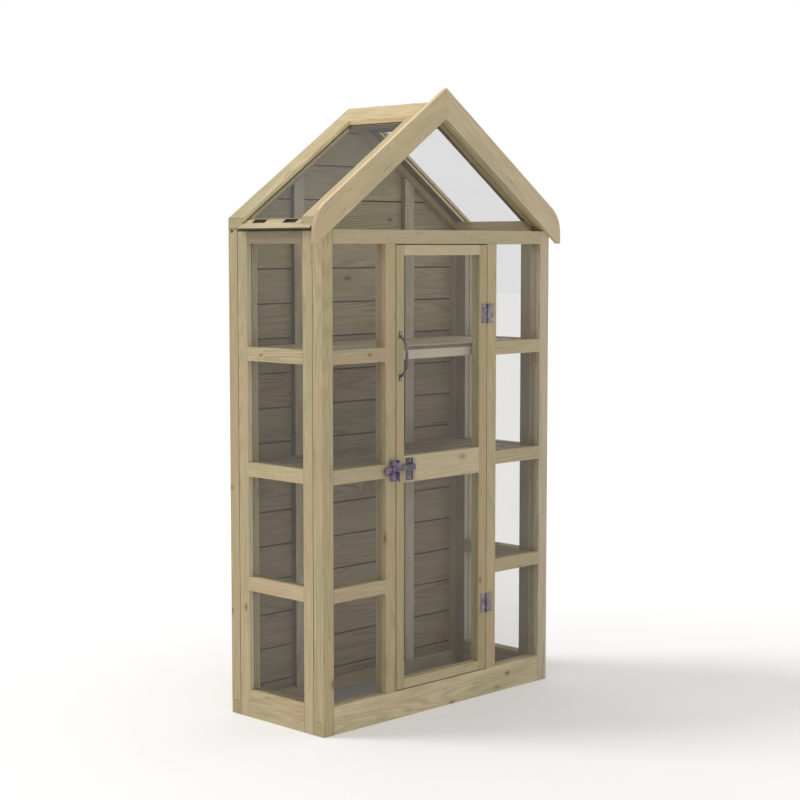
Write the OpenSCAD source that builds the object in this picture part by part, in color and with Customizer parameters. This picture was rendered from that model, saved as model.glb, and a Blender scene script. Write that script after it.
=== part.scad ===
// Wall-backed timber greenhouse cabinet: posts, glazed panels, boarded back,
// gabled glass roof with an opening light, slatted shelves and a glazed door.
// Frame: X to the right, Y to the wall, Z up, origin under the middle at the ground.

/* [Cabinet] */
// Width over the corner posts
body_w = 1080; // [960:10:1400]
// Depth from the front of the posts to the wall side
body_d = 445; // [400:5:600]
// Height of the corner posts
post_h = 1590; // [1450:10:1800]
// Side of the square frame timber
timber = 45; // [40:1:55]
// Height of the bottom rails
foot_rail_h = 90; // [70:5:130]
// Thickness of the bottom rails' through tenons
tenon_t = 27; // [20:1:30]
// Height of the bottom rails' through tenons
tenon_h = 45; // [35:1:60]

/* [Glazing] */
// Thickness of every pane
glass_t = 4; // [3:0.5:5]
// Set-back of the glass behind the frame's face
glass_set = 20; // [14:1:22]
// Depth of a pane's edge in its groove
bite = 6; // [4:0.5:8]
// Extra groove depth that lets a pane go in
groove_spare = 2; // [1:0.5:4]
// Clearance on each face of a pane in its groove
glass_gap = 0.3; // [0.1:0.1:1]

/* [Door] */
// Width of the door opening
door_open_w = 440; // [380:5:520]
// Gap all round the door
door_gap = 3; // [2:0.5:6]
// Thickness of the door
door_t = 34; // [22:1:36]
// Width of the door's stiles
door_stile_w = 36; // [30:1:60]
// Height of the door's top rail
door_top_h = 34; // [28:1:70]
// Height of the door's lock rail
lock_rail_h = 86; // [60:1:120]
// Height of the lock rail's lower edge above the ground
lock_rail_z = 774; // [600:1:1000]
// Height of the door's bottom rail
door_foot_h = 30; // [26:1:90]
// Set-back of the door's glass behind its face
door_glass_set = 8; // [5:1:12]
// Width of a door stop strip
stop_w = 12; // [8:1:20]
// Clearance between the closed door and its stops
stop_gap = 0.5; // [0.3:0.1:2]

/* [Roof] */
// Pitch of both roof slopes in degrees
pitch = 35.2; // [28:0.1:42]
// Height of the roof's underside above the posts at the eaves
eaves_lift = 5; // [3:0.5:12]
// Thickness of the roof frames
roof_t = 27; // [24:1:34]
// Thickness of the rafters, square to the slope
rafter_t = 21; // [18:1:40]
// Width of a roof frame's stiles
roof_stile_w = 76; // [60:1:90]
// Width of a roof frame's top rail, level
roof_top_w = 70; // [55:1:90]
// Level distance from the roof frame's bottom rail's inner edge to the eaves
low_rail_w = 26; // [20:1:60]
// Thickness of the bottom rail under the glass
low_rail_t = 10.6; // [9:0.2:13]
// Overhang of the bottom rail beyond the posts
drip = 16; // [8:1:30]
// Height of the bottom rail's outer edge
drip_edge_h = 8; // [6:0.5:12]
// Level distance of the roof glass's lower edge from the eaves
glass_stop = 18; // [6:1:20]
// Gap between the bargeboards and the roof frames
roof_front = 16; // [6:1:24]
// Play under the opening roof light and under the roof panes' long edges
light_play = 0.1; // [0.05:0.05:0.5]
// Length of a condensation slot
slot_l = 60; // [40:1:80]
// Depth of a condensation slot
slot_d = 7; // [2:0.5:8]
// Distance between the two condensation slots, middle to middle
slot_pitch = 146; // [100:1:200]

/* [Bargeboards] */
// Thickness of a bargeboard
barge_t = 16; // [12:1:24]
// Height of a bargeboard's top edge above the roof, plumb
barge_up = 41; // [20:1:60]
// Overhang of a bargeboard's end beyond the post
barge_out = 43; // [25:1:70]
// Radius of a bargeboard's rounded end
barge_r = 108; // [40:1:140]

/* [Back] */
// Thickness of the back boards
board_t = 16; // [12:1:20]
// Cover width of a back board
board_w = 115.5; // [90:0.5:150]
// Height of the first joint between back boards
first_joint = 77; // [60:1:110]
// Open gap between the shoulders of two back boards
board_gap = 0.4; // [0.2:0.1:2]
// Thickness of a board's tongue
tongue_t = 5; // [4:0.5:6]
// Height of a board's tongue
tongue_h = 5; // [3:0.5:7]
// Bevel at the boards' joints
board_bevel = 3; // [1:0.5:4]
// Thickness of the battens behind the shelves
batten_t = 20; // [16:1:25]
// Distance from the middle to a batten's inner edge
batten_x = 240; // [200:5:300]

/* [Shelves] */
// Thickness of a shelf bearer
bearer_t = 20; // [16:1:28]
// Height of a shelf bearer
bearer_h = 30; // [20:1:45]
// Thickness of a shelf slat
slat_t = 12; // [9:1:28]
// Width of a shelf slat
slat_w = 66; // [50:1:70]
// Number of slats in a shelf
slat_n = 5; // [4:1:5]
// Clearance at a slat's ends
slat_gap = 0.5; // [0.5:0.5:5]
// Open joint at the ends of a cross bearer and of the top door stop
joint_gap = 0.2; // [0.1:0.1:1]

/* [Door hinges] */
// Length of a door hinge
hinge_l = 65; // [50:1:80]
// Width of one hinge leaf
hinge_w = 29; // [22:1:32]
// Thickness of a hinge leaf
hinge_t = 1.8; // [1.2:0.1:2.5]
// Radius of a hinge knuckle
knuckle_r = 4; // [3.5:0.1:5]
// Radius of a hinge pin
hinge_pin_r = 2; // [1.5:0.1:2.5]
// Height of the lower hinge's middle
low_hinge_z = 322; // [250:1:400]
// Height of the upper hinge's middle
high_hinge_z = 1312; // [1250:1:1400]

/* [Ridge hinges] */
// Length of a ridge hinge
ridge_l = 50; // [40:1:65]
// Height of a ridge hinge's leaf
ridge_w = 24; // [18:1:25]
// Thickness of a ridge hinge's leaf
ridge_t = 1.4; // [1:0.1:2]
// Radius of a ridge hinge's knuckle
ridge_r = 3.2; // [3:0.1:4]
// Radius of a ridge hinge's pin
ridge_pin_r = 1.5; // [1:0.1:2]
// Running clearance of every pin in its knuckles
pin_gap = 0.05; // [0.02:0.01:0.1]
// Distance between the two ridge hinges
ridge_pitch = 160; // [120:5:180]
// Depth of the ridge hinges' axis below the ridge
ridge_set = 3; // [2:0.5:4]
// Slant of the bevels that let the roof light turn about that axis
ridge_bevel = 40; // [37:1:50]

/* [Bow handle] */
// Distance between the handle's feet, middle to middle
handle_l = 139; // [100:1:180]
// Height of the handle's middle
handle_z = 1184.5; // [1100:0.5:1300]
// Reach of the handle in front of the door
handle_reach = 35; // [28:1:45]
// Radius of the handle's rod
handle_r = 4.5; // [3.5:0.1:6]
// Width of a handle foot
handle_foot_w = 13; // [10:1:24]
// Height of a handle foot
handle_foot_h = 20; // [16:1:26]

/* [Gate latch] */
// Height of the striker bar's middle
latch_z = 824; // [800:1:850]
// Thickness of the latch's plates
latch_t = 2; // [1.5:0.1:3]
// Height of the catch's back plate
catch_h = 69; // [60:1:80]
// Width of the catch
catch_w = 25; // [20:1:27]
// Reach of the catch's jaws
jaw_reach = 24; // [22:1:28]
// Height of the striker bar
bar_h = 18; // [12:1:20]
// Thickness of the striker bar
bar_t = 8; // [5:1:9]
// Distance of the bar's back from the door's face
bar_set = 6; // [5:1:8]
// Clearance above and below the bar in the catch
bar_gap = 2; // [1:0.5:3]
// Radius of the latch lever's spindle
spindle_r = 2.5; // [2:0.1:3]
// Width of the thumb paddle
paddle_w = 27; // [20:1:32]
// Height of the thumb paddle
paddle_h = 27; // [20:1:32]

/* [Screws] */
// Radius of a screw's shank
screw_r = 1.6; // [1.2:0.1:2]
// Length of a screw in the timber
screw_l = 16; // [12:1:20]
// Radius of a screw's head
head_r = 3.2; // [2.8:0.1:4]
// Height of a screw's head
head_h = 1.2; // [0.8:0.1:2]

/* [Hidden] */
$fn = 48;
half_w = body_w / 2;
in_x = half_w - timber;
door_half = door_open_w / 2;
jamb_out = door_half + timber;
head_z = post_h - timber;
row_n = 4;
row_h = (head_z - foot_rail_h - (row_n - 1) * timber) / row_n;
groove_d = bite + groove_spare;
groove_w = glass_t + 2 * glass_gap;
groove_y0 = glass_set - glass_gap;
groove_x = half_w - glass_set - glass_t - glass_gap;
tenon_y = (timber - tenon_t) / 2;
board_y = body_d - board_t;
batten_y = board_y - batten_t;
rear_post_y = body_d - timber;
stile_y = rear_post_y - timber;
sill_y1 = batten_y + tenon_t;
mid_y = (body_d - handle_reach) / 2;
slope = tan(pitch);
plumb = 1 / cos(pitch);
frame_low = post_h + eaves_lift + half_w * slope;
frame_top = frame_low + roof_t * plumb;
rafter_low = frame_low - rafter_t * plumb;
glass_low = frame_low + low_rail_t * plumb;
glass_top = glass_low + glass_t * plumb;
barge_top = frame_top + barge_up;
roof_y1 = body_d - roof_stile_w;
roof_y0 = roof_front + roof_stile_w;
door_z0 = foot_rail_h + door_gap;
door_z1 = head_z - door_gap;
door_x = door_half - door_gap;
door_in = door_x - door_stile_w;
door_gy0 = door_glass_set - glass_gap;
ridge_z = frame_top - ridge_set;
bar_z0 = latch_z - bar_h / 2;
bar_z1 = latch_z + bar_h / 2;
catch_x0 = -door_half - 1 - catch_w;
catch_x1 = -door_half - 1;
catch_z0 = latch_z - catch_h / 2 - 6;
spindle_z = bar_z1 + bar_gap + 7;
spindle_y = -7;
plate_x0 = -door_in + 7;
plate_x1 = plate_x0 + 34;
handle_x = -door_x + door_stile_w / 2;
wood = [0.72, 0.66, 0.52];
pale_wood = [0.78, 0.72, 0.58];
zinc = [0.52, 0.49, 0.55];
clear = [0.8, 0.86, 0.88, 0.35];

// Height of the lower edge of window rail i, counted from the bottom.
function rail_z(i) = foot_rail_h + i * row_h + (i - 1) * timber;
// Height of the lower edge of pane row i.
function pane_z(i) = foot_rail_h + i * (row_h + timber);

// Everything is drawn from the posts' front face and then set about the origin.
module place() {
  translate([0, -mid_y, 0]) children();
}

// The left half is the mirror image of the right half.
module side(s) {
  if (s < 0) mirror([1, 0, 0]) children();
  else children();
}

// Block between two corners.
module block(a, b) {
  translate(a) cube([b[0] - a[0], b[1] - a[1], b[2] - a[2]]);
}

// Plank whose outline is drawn in X and Z, from y0 to y1.
module plank(points, y0, y1) {
  translate([0, y1, 0]) rotate([90, 0, 0]) linear_extrude(y1 - y0) polygon(points);
}

// Slab along the right slope between two plumb heights at the ridge.
module slab(low, top, x0, x1, y0, y1) {
  plank([[x0, low - x0 * slope], [x1, low - x1 * slope],
         [x1, top - x1 * slope], [x0, top - x0 * slope]], y0, y1);
}

// Corner posts, grooved for the front panes and slotted at the foot for the tenons.
module front_post() {
  difference() {
    block([in_x, 0, 0], [half_w, timber, post_h]);
    block([in_x - 1, groove_y0, foot_rail_h - groove_d],
          [in_x + groove_d, groove_y0 + groove_w, head_z + groove_d]);
    block([in_x - 1, tenon_y, -1], [half_w + 1, tenon_y + tenon_t, tenon_h]);
  }
}
module rear_post() {
  difference() {
    block([in_x, rear_post_y, 0], [half_w, body_d, post_h]);
    block([in_x - 1, batten_y, -1], [half_w + 1, sill_y1, tenon_h]);
  }
}
module front_left_post() color(wood) place() side(-1) front_post();
module front_right_post() color(wood) place() side(1) front_post();
module rear_left_post() color(wood) place() side(-1) rear_post();
module rear_right_post() color(wood) place() side(1) rear_post();

// Bottom rail under the door and windows, with a tenon through each post.
module front_bottom_rail() color(wood) place() {
  difference() {
    union() {
      block([-in_x, 0, 0], [in_x, timber, foot_rail_h]);
      block([-half_w, tenon_y, 0], [half_w, tenon_y + tenon_t, tenon_h]);
    }
    for (s = [-1, 1]) side(s)
      block([jamb_out - groove_d, groove_y0, foot_rail_h - bite],
            [in_x + 1, groove_y0 + groove_w, foot_rail_h + 1]);
  }
}

// Head rail over the door and windows, grooved above for the gable pane.
module head_rail() color(wood) place() {
  difference() {
    block([-in_x, 0, head_z], [in_x, timber, post_h]);
    for (s = [-1, 1]) side(s)
      block([jamb_out - groove_d, groove_y0, head_z - 1],
            [in_x + 1, groove_y0 + groove_w, head_z + groove_d]);
    block([-in_x - 1, groove_y0, post_h - bite], [in_x + 1, groove_y0 + groove_w, post_h + 1]);
  }
}

// Door jambs, grooved on their outer edge for the window panes.
module jamb() {
  difference() {
    block([door_half, 0, foot_rail_h], [jamb_out, timber, head_z]);
    block([jamb_out - groove_d, groove_y0, foot_rail_h - 1],
          [jamb_out + 1, groove_y0 + groove_w, head_z + 1]);
    children();
  }
}
module left_jamb() color(wood) place() side(-1) jamb() side(-1) catch_screws(true);
module right_jamb() color(wood) place() jamb() hinge_screws(1, true);

// Window rails between a post and a jamb, tongued into both grooves.
module window_rails() {
  for (i = [1 : row_n - 1])
    difference() {
      union() {
        block([jamb_out, 0, rail_z(i)], [in_x, timber, rail_z(i) + timber]);
        block([jamb_out - bite, glass_set, rail_z(i) + groove_d],
              [in_x + bite, glass_set + glass_t, rail_z(i) + timber - bite]);
      }
      block([jamb_out - groove_d, groove_y0, rail_z(i) + timber - bite],
            [in_x + groove_d, groove_y0 + groove_w, rail_z(i) + timber + 1]);
      block([jamb_out - groove_d, groove_y0, rail_z(i) - 1],
            [in_x + groove_d, groove_y0 + groove_w, rail_z(i) + groove_d]);
    }
}
module front_left_window_rails() color(wood) place() side(-1) window_rails();
module front_right_window_rails() color(wood) place() side(1) window_rails();

// Window panes standing in their grooves.
module window_panes() {
  for (i = [0 : row_n - 1])
    block([jamb_out - bite, glass_set, pane_z(i) - bite],
          [in_x + bite, glass_set + glass_t, pane_z(i) + row_h + bite]);
}
module front_left_panes() color(clear) place() side(-1) window_panes();
module front_right_panes() color(clear) place() side(1) window_panes();

// Side panel: two stiles, a bottom rail, a top rail, window rails and panes.
module side_stiles() {
  for (y = [timber, stile_y])
    difference() {
      block([in_x, y, 0], [half_w, y + timber, post_h]);
      block([groove_x, y == timber ? y + timber - groove_d : y - 1, foot_rail_h - groove_d],
            [groove_x + groove_w, y == timber ? y + timber + 1 : y + groove_d,
             head_z + groove_d]);
    }
}
module side_bottom_rail() {
  difference() {
    block([in_x, 2 * timber, 0], [half_w, stile_y, foot_rail_h]);
    block([groove_x, 2 * timber - 1, foot_rail_h - bite],
          [groove_x + groove_w, stile_y + 1, foot_rail_h + 1]);
  }
}
module side_top_rail() {
  difference() {
    block([in_x, 2 * timber, head_z], [half_w, stile_y, post_h]);
    block([groove_x, 2 * timber - 1, head_z - 1],
          [groove_x + groove_w, stile_y + 1, head_z + groove_d]);
  }
}
module side_window_rails() {
  for (i = [1 : row_n - 1])
    difference() {
      union() {
        block([in_x, 2 * timber, rail_z(i)], [half_w, stile_y, rail_z(i) + timber]);
        block([groove_x + glass_gap, 2 * timber - bite, rail_z(i) + groove_d],
              [groove_x + glass_gap + glass_t, stile_y + bite, rail_z(i) + timber - bite]);
      }
      block([groove_x, 2 * timber - groove_d, rail_z(i) + timber - bite],
            [groove_x + groove_w, stile_y + groove_d, rail_z(i) + timber + 1]);
      block([groove_x, 2 * timber - groove_d, rail_z(i) - 1],
            [groove_x + groove_w, stile_y + groove_d, rail_z(i) + groove_d]);
    }
}
module side_panes() {
  for (i = [0 : row_n - 1])
    block([groove_x + glass_gap, 2 * timber - bite, pane_z(i) - bite],
          [groove_x + glass_gap + glass_t, stile_y + bite, pane_z(i) + row_h + bite]);
}
module left_side_stiles() color(wood) place() side(-1) side_stiles();
module right_side_stiles() color(wood) place() side(1) side_stiles();
module left_side_window_rails() color(wood) place() side(-1) side_window_rails();
module right_side_window_rails() color(wood) place() side(1) side_window_rails();
module side_bottom_rails() color(wood) place() for (s = [-1, 1]) side(s) side_bottom_rail();
module side_top_rails() color(wood) place() for (s = [-1, 1]) side(s) side_top_rail();
module left_side_panes() color(clear) place() side(-1) side_panes();
module right_side_panes() color(clear) place() side(1) side_panes();

// Bevelled plates that carry the roof frames along the eaves.
module eaves_plates() color(wood) place() {
  for (s = [-1, 1]) side(s)
    plank([[in_x, post_h], [half_w, post_h], [half_w, post_h + eaves_lift],
           [in_x, post_h + eaves_lift + timber * slope]], timber, rear_post_y);
}

// Back: a sill through the rear posts, matched boards and two battens.
module rear_sill() color(wood) place() {
  block([-half_w, batten_y, 0], [half_w, sill_y1, tenon_h]);
}
module gable_area(y0, y1, z0) {
  plank([[-in_x, z0], [in_x, z0], [in_x, rafter_low - in_x * slope], [0, rafter_low],
         [-in_x, rafter_low - in_x * slope]], y0, y1);
}
module matched_board(z0, z1, groove, tongue) {
  ty = board_y + (board_t - tongue_t) / 2;
  difference() {
    union() {
      block([-in_x, board_y, z0], [in_x, body_d, z1 - board_gap]);
      if (tongue) block([-in_x, ty, z1 - 1], [in_x, ty + tongue_t, z1 + tongue_h]);
    }
    if (groove) block([-in_x - 1, ty - 0.2, z0 - 1], [in_x + 1, ty + tongue_t + 0.2, z0 + tongue_h + 0.5]);
    for (z = [z0, z1 - board_gap])
      translate([0, board_y, z]) rotate([45, 0, 0])
        cube([2 * half_w, board_bevel * sqrt(2), board_bevel * sqrt(2)], center = true);
  }
}
module rear_boards() color(wood) place() {
  board_n = ceil((rafter_low - first_joint) / board_w);
  matched_board(tenon_h, first_joint, false, true);
  for (i = [0 : board_n - 1])
    intersection() {
      matched_board(first_joint + i * board_w, first_joint + (i + 1) * board_w, true, true);
      gable_area(board_y - 1, body_d, tenon_h);
    }
}
module rear_battens() color(wood) place() {
  for (s = [-1, 1]) side(s)
    plank([[batten_x, tenon_h], [batten_x + timber, tenon_h],
           [batten_x + timber, rafter_low - (batten_x + timber) * slope],
           [batten_x, rafter_low - batten_x * slope]], batten_y, board_y);
}

// Rafters: plumb cut at the ridge and seated on the posts at the eaves. Those under the
// opening light stand a hair lower so that it turns freely.
module rafter(y0, play = 0) {
  seat_x = (rafter_low - post_h) / slope;
  plank([[0, rafter_low], [seat_x, post_h], [half_w, post_h],
         [half_w, frame_low - play - half_w * slope], [0, frame_low - play]], y0, y0 + timber);
}
module front_rafter(play = 0) {
  difference() {
    rafter(0, play);
    slab(rafter_low - 30, rafter_low + groove_d * plumb, -1, in_x, groove_y0, groove_y0 + groove_w);
  }
}
module front_left_rafter() color(wood) place() side(-1) front_rafter(light_play);
module front_right_rafter() color(wood) place() side(1) front_rafter();
module rear_left_rafter() color(wood) place() side(-1) rafter(rear_post_y, light_play);
module rear_right_rafter() color(wood) place() side(1) rafter(rear_post_y);

// Three-cornered pane over the head rail.
module gable_pane() color(clear) place() {
  top = rafter_low + bite * plumb;
  low = post_h - bite;
  tip = min(in_x, (top - low) / slope) - groove_spare;
  plank([[-tip, low], [tip, low], [tip, top - tip * slope], [0, top], [-tip, top - tip * slope]],
        glass_set, glass_set + glass_t);
}

// Bargeboards: straight, rounded at the outer end, mitred at the ridge.
module bargeboard() {
  end_x = half_w + barge_out;
  end_z = rafter_low - (end_x - 11) * slope;
  cx = end_x - barge_r;
  bend_x = cx + barge_r * sin(pitch);
  cz = barge_top - bend_x * slope - barge_r * cos(pitch);
  intersection() {
    plank([[0, rafter_low], [end_x - 11, end_z], [end_x, end_z], [end_x, barge_top - end_x * slope],
           [0, barge_top]], -barge_t, 0);
    union() {
      block([-1, -barge_t - 1, 0], [bend_x, 1, barge_top + 1]);
      block([cx, -barge_t - 1, 0], [end_x + 1, 1, cz]);
      translate([cx, 1, cz]) rotate([90, 0, 0])
        cylinder(h = barge_t + 2, r = barge_r, $fn = 128);
    }
  }
}
module left_bargeboard() color(wood) place() side(-1) bargeboard();
module right_bargeboard() color(wood) place() side(1) bargeboard();

// Roof frames: top rail, two stiles, thin bottom rail with a drip edge, one pane.
module ridge_pockets() {
  for (s = [-1, 1]) {
    yc = (roof_y0 + roof_y1) / 2 + s * ridge_pitch / 2;
    translate([0, yc, ridge_z]) rotate([90, 0, 0])
      cylinder(h = ridge_l + 1, r = ridge_r + 0.4, center = true);
    block([-1, yc - ridge_l / 2, ridge_z - ridge_w], [ridge_t + 0.05, yc + ridge_l / 2, ridge_z]);
  }
}
module roof_top_rail() {
  difference() {
    slab(frame_low, frame_top, 0, roof_top_w, roof_front, body_d);
    slab(glass_low - glass_gap, glass_top + glass_gap, roof_top_w - groove_d - bite,
         roof_top_w + 1, roof_y0 - groove_d, roof_y1 + groove_d);
    plank([[0, ridge_z], [6, ridge_z + 6 / tan(ridge_bevel)], [-1, ridge_z + 6 / tan(ridge_bevel)],
           [-1, ridge_z]], roof_front - 1, body_d + 1);
    ridge_pockets();
  }
}
module roof_stiles() {
  for (f = [0, 1])
    difference() {
      slab(frame_low, frame_top, roof_top_w, half_w, f ? roof_y1 : roof_front,
           f ? body_d : roof_y0);
      slab(glass_low - light_play, glass_top + glass_gap, roof_top_w - groove_d - bite,
           half_w + 1, f ? roof_y1 - 1 : roof_y0 - groove_d, f ? roof_y1 + groove_d : roof_y0 + 1);
    }
}
module roof_bottom_rail() {
  nose = half_w + drip;
  difference() {
    union() {
      slab(frame_low, glass_low, half_w - low_rail_w, half_w, roof_y0, roof_y1);
      plank([[half_w, frame_low - half_w * slope], [nose, glass_low - nose * slope - drip_edge_h],
             [nose, glass_low - nose * slope], [half_w, glass_low - half_w * slope]],
            roof_y0 - roof_stile_w + 20, roof_y1 + 7);
    }
    for (s = [-1, 1]) {
      yc = (roof_y0 + roof_y1) / 2 + s * slot_pitch / 2;
      slab(glass_low - slot_d, glass_low + 5, half_w - glass_stop - 3, half_w - glass_stop + 13,
           yc - slot_l / 2, yc + slot_l / 2);
    }
  }
}
module roof_pane() {
  slab(glass_low, glass_top, roof_top_w - bite, half_w - glass_stop, roof_y0 - bite, roof_y1 + bite);
}
module fixed_roof_top_rail() color(wood) place() roof_top_rail();
module fixed_roof_stiles() color(wood) place() roof_stiles();
module fixed_roof_bottom_rail() color(wood) place() roof_bottom_rail();
module fixed_roof_pane() color(clear) place() roof_pane();
module roof_light_top_rail() color(pale_wood) place() side(-1) roof_top_rail();
module roof_light_stiles() color(pale_wood) place() side(-1) roof_stiles();
module roof_light_bottom_rail() color(pale_wood) place() side(-1) roof_bottom_rail();
module roof_light_pane() color(clear) place() side(-1) roof_pane();

// Hinge leaf about an axis along Z; the leaf reaches to +X with its near face at y = off.
module leaf(len, n, own, w, t, off, kr, pr) {
  seg = len / n;
  difference() {
    union() {
      translate([0, off, -len / 2]) cube([w, t, len]);
      for (i = [0 : n - 1])
        if (i % 2 == own)
          translate([0, 0, -len / 2 + i * seg + 0.15]) cylinder(h = seg - 0.3, r = kr);
    }
    for (i = [0 : n - 1])
      if (i % 2 != own)
        translate([0, 0, -len / 2 + i * seg - 0.15]) cylinder(h = seg + 0.3, r = kr + 0.3);
    cylinder(h = len + 2, r = pr + pin_gap, center = true);
  }
}
module door_leaves(s, own, holes) {
  for (z = [low_hinge_z, high_hinge_z])
    difference() {
      translate([door_half, -knuckle_r, z]) side(s)
        leaf(hinge_l, 5, own, hinge_w, hinge_t, knuckle_r - hinge_t, knuckle_r, hinge_pin_r);
      hinge_screws(s, true);
    }
}
module door_hinge_frame_leaves() color(zinc) place() door_leaves(1, 0, true);
module door_hinge_door_leaves() color(zinc) place() door_leaves(-1, 1, true);

module ridge_leaves(own) {
  for (s = [-1, 1])
    translate([0, (roof_y0 + roof_y1) / 2 + s * ridge_pitch / 2, ridge_z]) rotate([90, 90, 0])
      leaf(ridge_l, 3, own, ridge_w, ridge_t, 0.05, ridge_r, ridge_pin_r);
}
module ridge_hinge_fixed_leaves() color(zinc) place() ridge_leaves(0);
module ridge_hinge_light_leaves() color(zinc) place() side(-1) ridge_leaves(1);

// Two door pins and two ridge pins.
module hinge_pins() color(zinc) place() {
  for (z = [low_hinge_z, high_hinge_z])
    translate([door_half, -knuckle_r, z]) cylinder(h = hinge_l, r = hinge_pin_r, center = true);
  for (s = [-1, 1])
    translate([0, (roof_y0 + roof_y1) / 2 + s * ridge_pitch / 2, ridge_z]) rotate([90, 0, 0])
      cylinder(h = ridge_l, r = ridge_pin_r, center = true);
}

// Shelves stand on bearers level with the two upper window rails.
module bearer_frame(z) {
  for (y = [timber, batten_y - bearer_t])
    block([-in_x, y, z], [in_x, y + bearer_t, z + bearer_h]);
  for (x = [-in_x, -bearer_t / 2, in_x - bearer_t])
    block([x, timber + bearer_t + joint_gap, z],
          [x + bearer_t, batten_y - bearer_t - joint_gap, z + bearer_h]);
}
module shelf_bearers() color(wood) place() for (i = [2, 3]) bearer_frame(rail_z(i));
module slats(z) {
  pitch_y = (batten_y - timber - slat_w) / (slat_n - 1);
  for (i = [0 : slat_n - 1])
    block([-in_x + slat_gap, timber + i * pitch_y, z],
          [in_x - slat_gap, timber + i * pitch_y + slat_w, z + slat_t]);
}
module upper_shelf_slats() color(wood) place() slats(rail_z(3) + bearer_h);
module lower_shelf_slats() color(wood) place() slats(rail_z(2) + bearer_h);

// Strips that the closed door meets, on both jambs and under the head rail.
module door_stops() color(wood) place() {
  y0 = door_t + stop_gap;
  for (s = [-1, 1]) side(s)
    block([door_half - stop_w, y0, foot_rail_h], [door_half, timber, head_z]);
  block([-door_half + stop_w + joint_gap, y0, head_z - stop_w],
        [door_half - stop_w - joint_gap, timber, head_z]);
}

// Door: stiles run through, rails are tongued into the stiles' grooves.
module door_stile() {
  difference() {
    block([door_in, 0, door_z0], [door_x, door_t, door_z1]);
    block([door_in - 1, door_gy0, door_z0 + door_foot_h - groove_d],
          [door_in + groove_d, door_gy0 + groove_w, door_z1 - door_top_h + groove_d]);
    children();
  }
}
module door_left_stile() color(wood) place() side(-1) door_stile() side(-1) handle_screws(true);
module door_right_stile() color(wood) place() door_stile() hinge_screws(-1, true);
module door_rail(z0, z1, low_groove, top_groove) {
  difference() {
    union() {
      block([-door_in, 0, z0], [door_in, door_t, z1]);
      if (low_groove && top_groove)
        block([-door_in - bite, door_glass_set, z0 + groove_d],
              [door_in + bite, door_glass_set + glass_t, z1 - bite]);
    }
    if (top_groove)
      block([-door_x, door_gy0, z1 - bite], [door_x, door_gy0 + groove_w, z1 + 1]);
    if (low_groove)
      block([-door_x, door_gy0, z0 - 1], [door_x, door_gy0 + groove_w, z0 + groove_d]);
    children();
  }
}
module door_top_rail() color(wood) place()
  door_rail(door_z1 - door_top_h, door_z1, true, false);
module door_lock_rail() color(wood) place()
  door_rail(lock_rail_z, lock_rail_z + lock_rail_h, true, true) striker_screws(true);
module door_bottom_rail() color(wood) place()
  door_rail(door_z0, door_z0 + door_foot_h, false, true);
module door_panes() color(clear) place() {
  block([-door_in - bite, door_glass_set, door_z0 + door_foot_h - bite],
        [door_in + bite, door_glass_set + glass_t, lock_rail_z + bite]);
  block([-door_in - bite, door_glass_set, lock_rail_z + lock_rail_h - bite],
        [door_in + bite, door_glass_set + glass_t, door_z1 - door_top_h + bite]);
}

// Rod between two points in the Y-Z plane with a bead at its far end.
module rod(p, q, r, bead) {
  d = q - p;
  translate([0, p[0], p[1]]) rotate([atan2(-d[0], d[1]), 0, 0]) cylinder(h = norm(d), r = r);
  translate([0, q[0], q[1]]) sphere(r = bead);
}
module bow_handle() color(zinc) place() {
  h = handle_l / 2;
  grip = -handle_reach + handle_r * 1.08;
  difference() {
    translate([handle_x, 0, handle_z]) {
      translate([0, grip, -h + 37]) cylinder(h = 2 * h - 74, r = handle_r);
      for (m = [0, 1]) mirror([0, 0, m]) {
        block([-handle_foot_w / 2, -latch_t, h - handle_foot_h / 2],
              [handle_foot_w / 2, 0, h + handle_foot_h / 2]);
        rod([-1, h - 4], [-handle_reach / 2, h - 15], handle_r - 1, handle_r * 0.97);
        rod([-handle_reach / 2, h - 15], [grip, h - 37], handle_r - 0.6, handle_r * 1.08);
      }
    }
    handle_screws(true);
  }
}

// Catch on the jamb: back plate and two notched jaws that carry the lever's spindle.
module latch_catch() color(zinc) place() {
  difference() {
    union() {
      block([catch_x0, -latch_t, catch_z0], [catch_x1, 0, catch_z0 + catch_h]);
      for (x = [catch_x0, catch_x1 - latch_t])
        block([x, -jaw_reach, catch_z0], [x + latch_t, 0, catch_z0 + catch_h]);
    }
    block([catch_x0 - 1, -jaw_reach - 1, bar_z0 - bar_gap],
          [catch_x1 + 1, -bar_set + bar_gap, bar_z1 + bar_gap]);
    translate([catch_x0 - 1, spindle_y, spindle_z]) rotate([0, 90, 0])
      cylinder(h = catch_w + 2, r = spindle_r + pin_gap);
    catch_screws(true);
  }
}

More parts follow.
